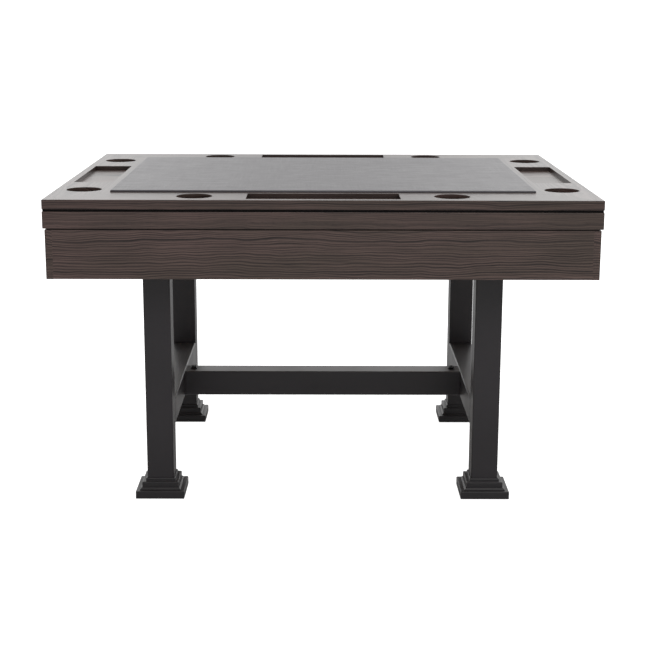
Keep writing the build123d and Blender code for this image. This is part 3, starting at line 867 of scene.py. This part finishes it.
@dataclass
class GameTop(Assembly):
    """The lift-off top: mitred rails, playing panel, chip trays and cup wells."""

    body: str = "game_top"
    cloth_round: float = 3.0 * MM
    cloth_corner: float = 4.5 * MM
    cloth_steps: int = 6
    cloth_thick: float = 1.0 * MM
    cloth_gap: float = 0.2 * MM
    flat_margin: float = 1.0 * MM
    foam_round: float = 1.9 * MM
    liner_wall: float = 2.0 * MM
    liner_corner: float = 5.0 * MM
    liner_sides: int = 72
    flange_thick: float = 3.0 * MM
    flange_width: float = 7.5 * MM
    flange_round: float = 0.6 * MM
    lip_round: float = 0.8 * MM
    floor_ring: tuple = ((0.72, 0.0), (0.70, 0.6 * MM), (0.66, 0.6 * MM), (0.64, 0.0))
    arris: float = 0.5 * MM

    def build(self) -> None:
        """Builds and dresses the lift-off top."""
        self.dress_rails()
        self.dress_inside()
        self.make_play_cloth()
        for node in sorted(n for n in frame["nodes"] if n.startswith("cup_liner")):
            self.make_cup_liner(node)

    def dress_rails(self) -> None:
        """Gives the four rails and the tray floors their oak."""
        piths = {"front": (0.0, 0.035, -0.085), "back": (0.0, -0.02, -0.10), "left": (0.0, 0.025, -0.075),
                 "right": (0.0, -0.035, -0.09)}
        self.dress_oak("top_rail", piths, self.arris, ring=0.0048, drift=0.016, light=0.78, contrast=0.85,
                       relief=0.2, crevice=0.75)
        floors = StainedOak("oak_tray_floors", Grain.ALONG_X, (0.0, 0.0, 0.79), (0.0, 0.06, -0.2),
                            drift=0.016, rough=0.32, crevice=0.0, relief=0.15)
        self.dress("tray_floors", floors)

    def dress_inside(self) -> None:
        """Gives the pieces inside and under the top their finishes."""
        self.dress("top_core", FIBREBOARD)
        self.dress("play_board", FIBREBOARD)
        self.dress("play_foam", FOAM, self.foam_round)
        self.dress("locating_battens", BareWood("bare_batten", Grain.ALONG_X), SOFTWOOD_ARRIS)
        self.dress("core_screws", ZINC_PLATE)
        self.dress("cup_screws", ZINC_PLATE)

    def make_play_cloth(self) -> None:
        """Makes the playing cloth: pulled over the panel and rolled down round its edge."""
        low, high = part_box("play_cloth")
        hem = low.z + self.cloth_gap
        shape = flat_grid(low, high, hem)
        rounded(shape, list(shape.verts), self.cloth_corner, self.cloth_steps, "VERTICES")
        base = list(shape.faces)
        lifted = bmesh.ops.extrude_face_region(shape, geom=base)["geom"]
        raised = [v for v in lifted if isinstance(v, bmesh.types.BMVert)]
        bmesh.ops.translate(shape, vec=(0.0, 0.0, high.z - hem), verts=raised)
        bmesh.ops.delete(shape, geom=base, context="FACES_ONLY")
        rim = [e for e in shape.edges if all(abs(v.co.z - high.z) < WELD_DISTANCE for v in e.verts)]
        rounded(shape, rim, self.cloth_round, self.cloth_steps)
        bmesh.ops.recalc_face_normals(shape, faces=shape.faces)
        flat = [max(shape.faces, key=lambda face: face.calc_area())]
        bmesh.ops.inset_region(shape, faces=flat, thickness=self.flat_margin, use_even_offset=True)
        piece = mesh_piece("playing_cloth", shape)
        wrap_as_cloth(piece, self.cloth_thick)
        self.place(piece, PLAY_CLOTH, "play_cloth", "play_cloth")

    def make_cup_liner(self, node: str) -> None:
        """Makes one cup liner by spinning its section.

        Args:
            node: The CAD node of the liner.
        """
        low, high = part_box(node)
        middle = (low + high) / 2
        flange = (high.x - low.x) / 2
        outer = flange - self.flange_width
        inner = outer - self.liner_wall
        under = high.z - self.flange_thick
        floor = low.z + self.liner_wall
        corner = self.liner_corner
        section = [(0.0, low.z), (outer - corner, low.z)]
        quarter = [math.radians(a) for a in (22.5, 45.0, 67.5)]
        section += [(outer - corner * (1 - math.sin(a)), low.z + corner * (1 - math.cos(a))) for a in quarter]
        edge, lip = self.flange_round, self.lip_round
        section += [(outer, low.z + corner), (outer, under), (flange - edge, under), (flange, under + edge),
                    (flange, high.z - edge), (flange - edge, high.z), (inner + lip, high.z),
                    (inner, high.z - lip), (inner, floor + corner)]
        section += [(inner - corner * (1 - math.sin(a)), floor + corner * (1 - math.cos(a)))
                    for a in reversed(quarter)]
        ring = [(share * inner, floor + rise) for share, rise in self.floor_ring]
        section += [(inner - corner, floor), *ring, (0.0, floor)]
        shape = bmesh.new()
        points = [shape.verts.new((middle.x + r, middle.y, z)) for r, z in section]
        edges = [shape.edges.new(pair) for pair in zip(points, points[1:])]
        bmesh.ops.spin(shape, geom=points + edges, cent=middle, axis=(0.0, 0.0, 1.0), dvec=(0.0, 0.0, 0.0),
                       angle=2 * math.pi, steps=self.liner_sides, use_merge=True, use_normal_flip=False,
                       use_duplicate=False)
        bmesh.ops.remove_doubles(shape, verts=shape.verts, dist=WELD_DISTANCE)
        bmesh.ops.recalc_face_normals(shape, faces=shape.faces)
        piece = mesh_piece(node.replace("cup_liner", "moulded_liner"), shape)
        self.place(piece, LINER_PLASTIC, "liner_plastic", node)


@dataclass
class Cabinet(Assembly):
    """The cabinet: band, aprons, and the game well with its cloth."""

    body: str = "base"
    arris: float = 0.9 * MM
    felt_width: float = 12.0 * MM
    felt_round: float = 0.3 * MM
    cloth_thick: float = 1.0 * MM
    cloth_cells: tuple = (24, 18)

    def build(self) -> None:
        """Builds and dresses the cabinet."""
        self.dress_boards()
        self.dress_inside()
        self.make_well_cloth()
        self.make_felt_strips()

    def dress_boards(self) -> None:
        """Gives the bands and aprons their oak."""
        band_piths = {"front": (0.0, 0.09, -0.16), "back": (0.0, -0.08, -0.17), "left": (0.0, -0.09, 0.16),
                      "right": (0.0, 0.10, -0.15)}
        apron_piths = {"front": (0.0, 0.07, -0.30), "back": (0.0, -0.05, -0.27), "left": (0.0, -0.04, 0.33),
                       "right": (0.0, 0.03, -0.31)}
        self.dress_oak("band", band_piths, self.arris, contrast=0.5, light=0.84, rough=0.42)
        self.dress_oak("apron", apron_piths, self.arris, rough=0.42)

    def dress_inside(self) -> None:
        """Gives the pieces inside the cabinet their finishes."""
        across = BareWood("bare_softwood_across", Grain.ALONG_Y)
        upright = BareWood("bare_softwood_upright", Grain.ALONG_Z)
        self.dress("bearer_left", across, SOFTWOOD_ARRIS)
        self.dress("bearer_right", across, SOFTWOOD_ARRIS)
        self.dress("floor_cleats", BareWood("bare_softwood_along", Grain.ALONG_X), SOFTWOOD_ARRIS)
        self.dress("corner_blocks", upright, SOFTWOOD_ARRIS)
        self.dress("well_floor", FIBREBOARD)

    def make_well_cloth(self) -> None:
        """Makes the cloth that lies on the floor of the game well."""
        low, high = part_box("well_cloth")
        piece = mesh_piece("game_well_cloth", flat_grid(low, high, high.z, *self.cloth_cells))
        wrap_as_cloth(piece, self.cloth_thick)
        self.place(piece, WELL_CLOTH, "well_cloth", "well_cloth")

    def make_felt_strips(self) -> None:
        """Makes the felt strips all round on the band that the top rests on."""
        low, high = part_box("spacer_strips")
        middle = (low + high) / 2
        span = high - low
        shape = bmesh.new()
        for side in (-1, 1):
            end_strip = (Vector((self.felt_width, span.y, span.z)), Vector((side, 0.0, 0.0)))
            between = Vector((span.x - 2 * self.felt_width, self.felt_width, span.z))
            long_strip = (between, Vector((0.0, side, 0.0)))
            for size, way in (end_strip, long_strip):
                made = bmesh.ops.create_cube(shape, size=1.0)["verts"]
                bmesh.ops.scale(shape, vec=size, verts=made)
                reach = [w * (s - self.felt_width) / 2 for w, s in zip(way, span)]
                bmesh.ops.translate(shape, vec=middle + Vector(reach), verts=made)
                corners = list({e for v in made for e in v.link_edges})
                rounded(shape, corners, self.felt_round, 2)
        piece = mesh_piece("felt_strips", shape)
        self.place(piece, BLACK_FELT, "felt_strip", "spacer_strips")


@dataclass
class TrestleBase(Assembly):
    """The coated steel base: legs, stretchers, stepped feet and their fasteners."""

    body: str = "base"
    arris: float = 0.6 * MM
    foot_arris: float = 0.9 * MM
    bolt_flats: float = 13.0 * MM
    bolt_head: float = 5.3 * MM
    bolt_chamfer: float = 1.0 * MM
    bolt_turn: float = math.radians(17)
    bolt_radius: float = 4.0 * MM
    shank_sides: int = 28
    washer_radius: float = 7.4 * MM
    washer_play: float = 0.1 * MM
    washer_gap: float = math.radians(14)
    washer_rise: float = 0.5 * MM
    washer_steps: int = 48

    def build(self) -> None:
        """Builds and dresses the base."""
        for node in sorted(frame["nodes"]):
            if node.startswith(("leg_front", "leg_back", "side_stretcher", "centre_stretcher")):
                self.dress(node, POWDER_ON_TUBE, self.arris)
            elif node.startswith("foot_"):
                self.dress(node, POWDER_ON_CASTING, self.foot_arris)
        for node in ("leg_plates", "stretcher_stubs"):
            self.dress(node, POWDER_ON_TUBE)
        for node in ("leg_lag_screws", "leg_lag_washers", "stub_nuts"):
            self.dress(node, ZINC_PLATE)
        self.dress("stretcher_flat_washers", BLACK_OXIDE)
        self.make_bolts()
        self.make_spring_washers()

    def bolt_centres(self) -> list[float]:
        """Returns the X of the two stretcher bolts."""
        low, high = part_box("stretcher_bolts")
        reach = self.bolt_flats / math.sqrt(3)
        return [low.x + reach, high.x - reach]

    def make_bolts(self) -> None:
        """Makes the two hexagon bolts, each with a chamfered head over its shank."""
        low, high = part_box("stretcher_bolts")
        shape = bmesh.new()
        under = high.z - self.bolt_head
        corner = self.bolt_flats / math.sqrt(3)
        turn = Matrix.Rotation(self.bolt_turn, 3, "Z")
        for x in self.bolt_centres():
            head = bmesh.ops.create_cone(shape, cap_ends=True, segments=6, radius1=corner, radius2=corner,
                                         depth=self.bolt_head)["verts"]
            bmesh.ops.rotate(shape, cent=(0.0, 0.0, 0.0), matrix=turn, verts=head)
            bmesh.ops.translate(shape, vec=(x, 0.0, under + self.bolt_head / 2), verts=head)
            top = [e for v in head for e in v.link_edges
                   if all(p.co.z > high.z - WELD_DISTANCE for p in e.verts)]
            rounded(shape, list(set(top)), self.bolt_chamfer, 2)
            shank = bmesh.ops.create_cone(shape, cap_ends=True, segments=self.shank_sides,
                                          radius1=self.bolt_radius, radius2=self.bolt_radius,
                                          depth=under - low.z)["verts"]
            bmesh.ops.translate(shape, vec=(x, 0.0, (under + low.z) / 2), verts=shank)
        bmesh.ops.recalc_face_normals(shape, faces=shape.faces)
        piece = mesh_piece("stretcher_hex_bolts", shape)
        self.place(piece, BLACK_OXIDE, "black_fasteners", "stretcher_bolts")

    def make_spring_washers(self) -> None:
        """Makes the two split spring washers, each a short helix of square wire."""
        low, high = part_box("stretcher_spring_washers")
        shape = bmesh.new()
        outer = self.washer_radius
        wire = outer - self.bolt_radius - self.washer_play
        thick = high.z - low.z - self.washer_rise
        upright = Matrix.Rotation(math.pi / 2, 3, "X")
        for x in self.bolt_centres():
            made = bmesh.ops.create_grid(shape, x_segments=1, y_segments=1, size=0.5)["verts"]
            bmesh.ops.scale(shape, vec=(wire, thick, 1.0), verts=made)
            bmesh.ops.rotate(shape, cent=(0.0, 0.0, 0.0), matrix=upright, verts=made)
            bmesh.ops.translate(shape, vec=(x + outer - wire / 2, 0.0, low.z + thick / 2), verts=made)
            start = [f for v in made for f in v.link_faces]
            geom = list(set(start)) + list({e for v in made for e in v.link_edges}) + list(made)
            bmesh.ops.spin(shape, geom=geom, cent=(x, 0.0, low.z), axis=(0.0, 0.0, 1.0),
                           dvec=(0.0, 0.0, self.washer_rise / self.washer_steps),
                           angle=2 * math.pi - self.washer_gap, steps=self.washer_steps, use_merge=False,
                           use_normal_flip=False, use_duplicate=True)
        bmesh.ops.remove_doubles(shape, verts=shape.verts, dist=WELD_DISTANCE)
        bmesh.ops.recalc_face_normals(shape, faces=shape.faces)
        piece = mesh_piece("stretcher_split_washers", shape)
        self.place(piece, BLACK_OXIDE, "black_fasteners", "stretcher_spring_washers")


@dataclass
class Leveller(Assembly):
    """One levelling foot, which screws out of the foot above it."""

    def build(self) -> None:
        """Gives the levelling foot its plating."""
        self.dress(self.body, ZINC_PLATE)


# ---------------------------------------------------------------- studio


@dataclass
class Studio:
    """The camera, the floor and plain soft light, none of it part of the table."""

    camera_place: tuple = (-0.0071, -3.9715, 1.2791)
    pitch_deg: float = 12.774
    yaw_deg: float = 0.2008
    roll_deg: float = 0.1605
    sensor_mm: float = 36.0
    lens_mm: float = 78.597
    sight: float = 200.0
    floor_size: float = 60.0
    floor_shade: float = 0.58
    floor_glow: float = 0.97
    lamp_place: tuple = (0.9, -3.0, 2.8)
    lamp_aim: tuple = (0.0, 0.0, 0.4)
    lamp_size: tuple = (2.6, 1.8)
    lamp_watts: float = 60.0

    def build(self) -> None:
        """Builds the studio."""
        self.make_camera()
        self.make_floor()
        self.make_surroundings()
        self.make_lamps()
        bpy.context.scene.view_settings.view_transform = "Standard"

    def make_camera(self) -> None:
        """Makes the camera, in front of the table and a little above it."""
        data = bpy.data.cameras.new("camera")
        data.sensor_width = self.sensor_mm
        data.lens = self.lens_mm
        data.clip_end = self.sight
        camera = bpy.data.objects.new("camera", data)
        bpy.context.scene.collection.objects.link(camera)
        turn = Matrix.Rotation(-math.radians(self.yaw_deg), 4, "Z")
        tilt = Matrix.Rotation(math.radians(90.0 - self.pitch_deg), 4, "X")
        roll = Matrix.Rotation(math.radians(self.roll_deg), 4, "Z")
        camera.matrix_world = Matrix.Translation(self.camera_place) @ turn @ tilt @ roll
        bpy.context.scene.camera = camera

    def make_floor(self) -> None:
        """Makes the pale floor, which looks almost white and throws back less light than that."""
        corner = Vector((self.floor_size / 2, self.floor_size / 2, 0.0))
        floor = mesh_piece("studio_floor", flat_grid(-corner, corner, 0.0))
        material = bpy.data.materials.new("pale_floor")
        material.use_nodes = True
        graph = Graph(material.node_tree)
        tone = (self.floor_shade, self.floor_shade, self.floor_shade, 1.0)
        matt = graph.add("BsdfDiffuse", {"Color": tone})
        seen = graph.add("LightPath").outputs["Is Camera Ray"]
        glow = graph.add("Emission", {"Strength": graph.math("MULTIPLY", seen, self.floor_glow)})
        both = graph.add("AddShader", {0: matt.outputs[0], 1: glow.outputs[0]})
        graph.add("OutputMaterial", {"Surface": both.outputs[0]})
        floor.data.materials.append(material)

    def make_surroundings(self) -> None:
        """Makes white surroundings: brightest behind the table and to its sides, dim in front."""
        world = bpy.data.worlds.new("studio")
        bpy.context.scene.world = world
        world.use_nodes = True
        g = Graph(world.node_tree)
        way = g.add("SeparateXYZ", {0: g.add("TexCoord").outputs["Generated"]})
        behind = g.remap(way.outputs["Y"], -0.35, 0.75, 0.55, 1.6)
        ahead = g.math("MAXIMUM", way.outputs["Y"], 0.05)
        aside = g.math("ABSOLUTE", g.math("DIVIDE", way.outputs["X"], ahead))
        wings = g.remap(aside, 0.05, 0.17, 0.0, 0.38)
        strength = g.math("MULTIPLY", behind, g.math("ADD", wings, 0.69))
        seen = g.add("LightPath").outputs["Is Camera Ray"]
        strength = g.math("MAXIMUM", strength, seen)
        around = g.add("Background", {"Color": (1.0, 1.0, 1.0, 1.0), "Strength": strength})
        g.add("OutputWorld", {"Surface": around.outputs[0]})

    def make_lamps(self) -> None:
        """Makes a large soft lamp over the front right of the table."""
        data = bpy.data.lights.new("softbox", "AREA")
        data.shape = "RECTANGLE"
        data.size, data.size_y = self.lamp_size
        data.energy = self.lamp_watts
        lamp = bpy.data.objects.new("softbox", data)
        bpy.context.scene.collection.objects.link(lamp)
        aim = Vector(self.lamp_aim) - Vector(self.lamp_place)
        turn = aim.to_track_quat("-Z", "Y").to_matrix().to_4x4()
        lamp.matrix_world = Matrix.Translation(self.lamp_place) @ turn


def main() -> None:
    """Builds the studio and then the table, one sub-assembly at a time."""
    logging.basicConfig(level=logging.INFO, format="%(name)s: %(message)s")
    Studio().build()
    levellers = [Leveller(body) for body in sorted(frame["bodies"]) if body.startswith("leveller")]
    for assembly in [GameTop(), Cabinet(), TrestleBase(), *levellers]:
        assembly.build()
        log.info("%s built", type(assembly).__name__)


if __name__ == "__main__":
    main()
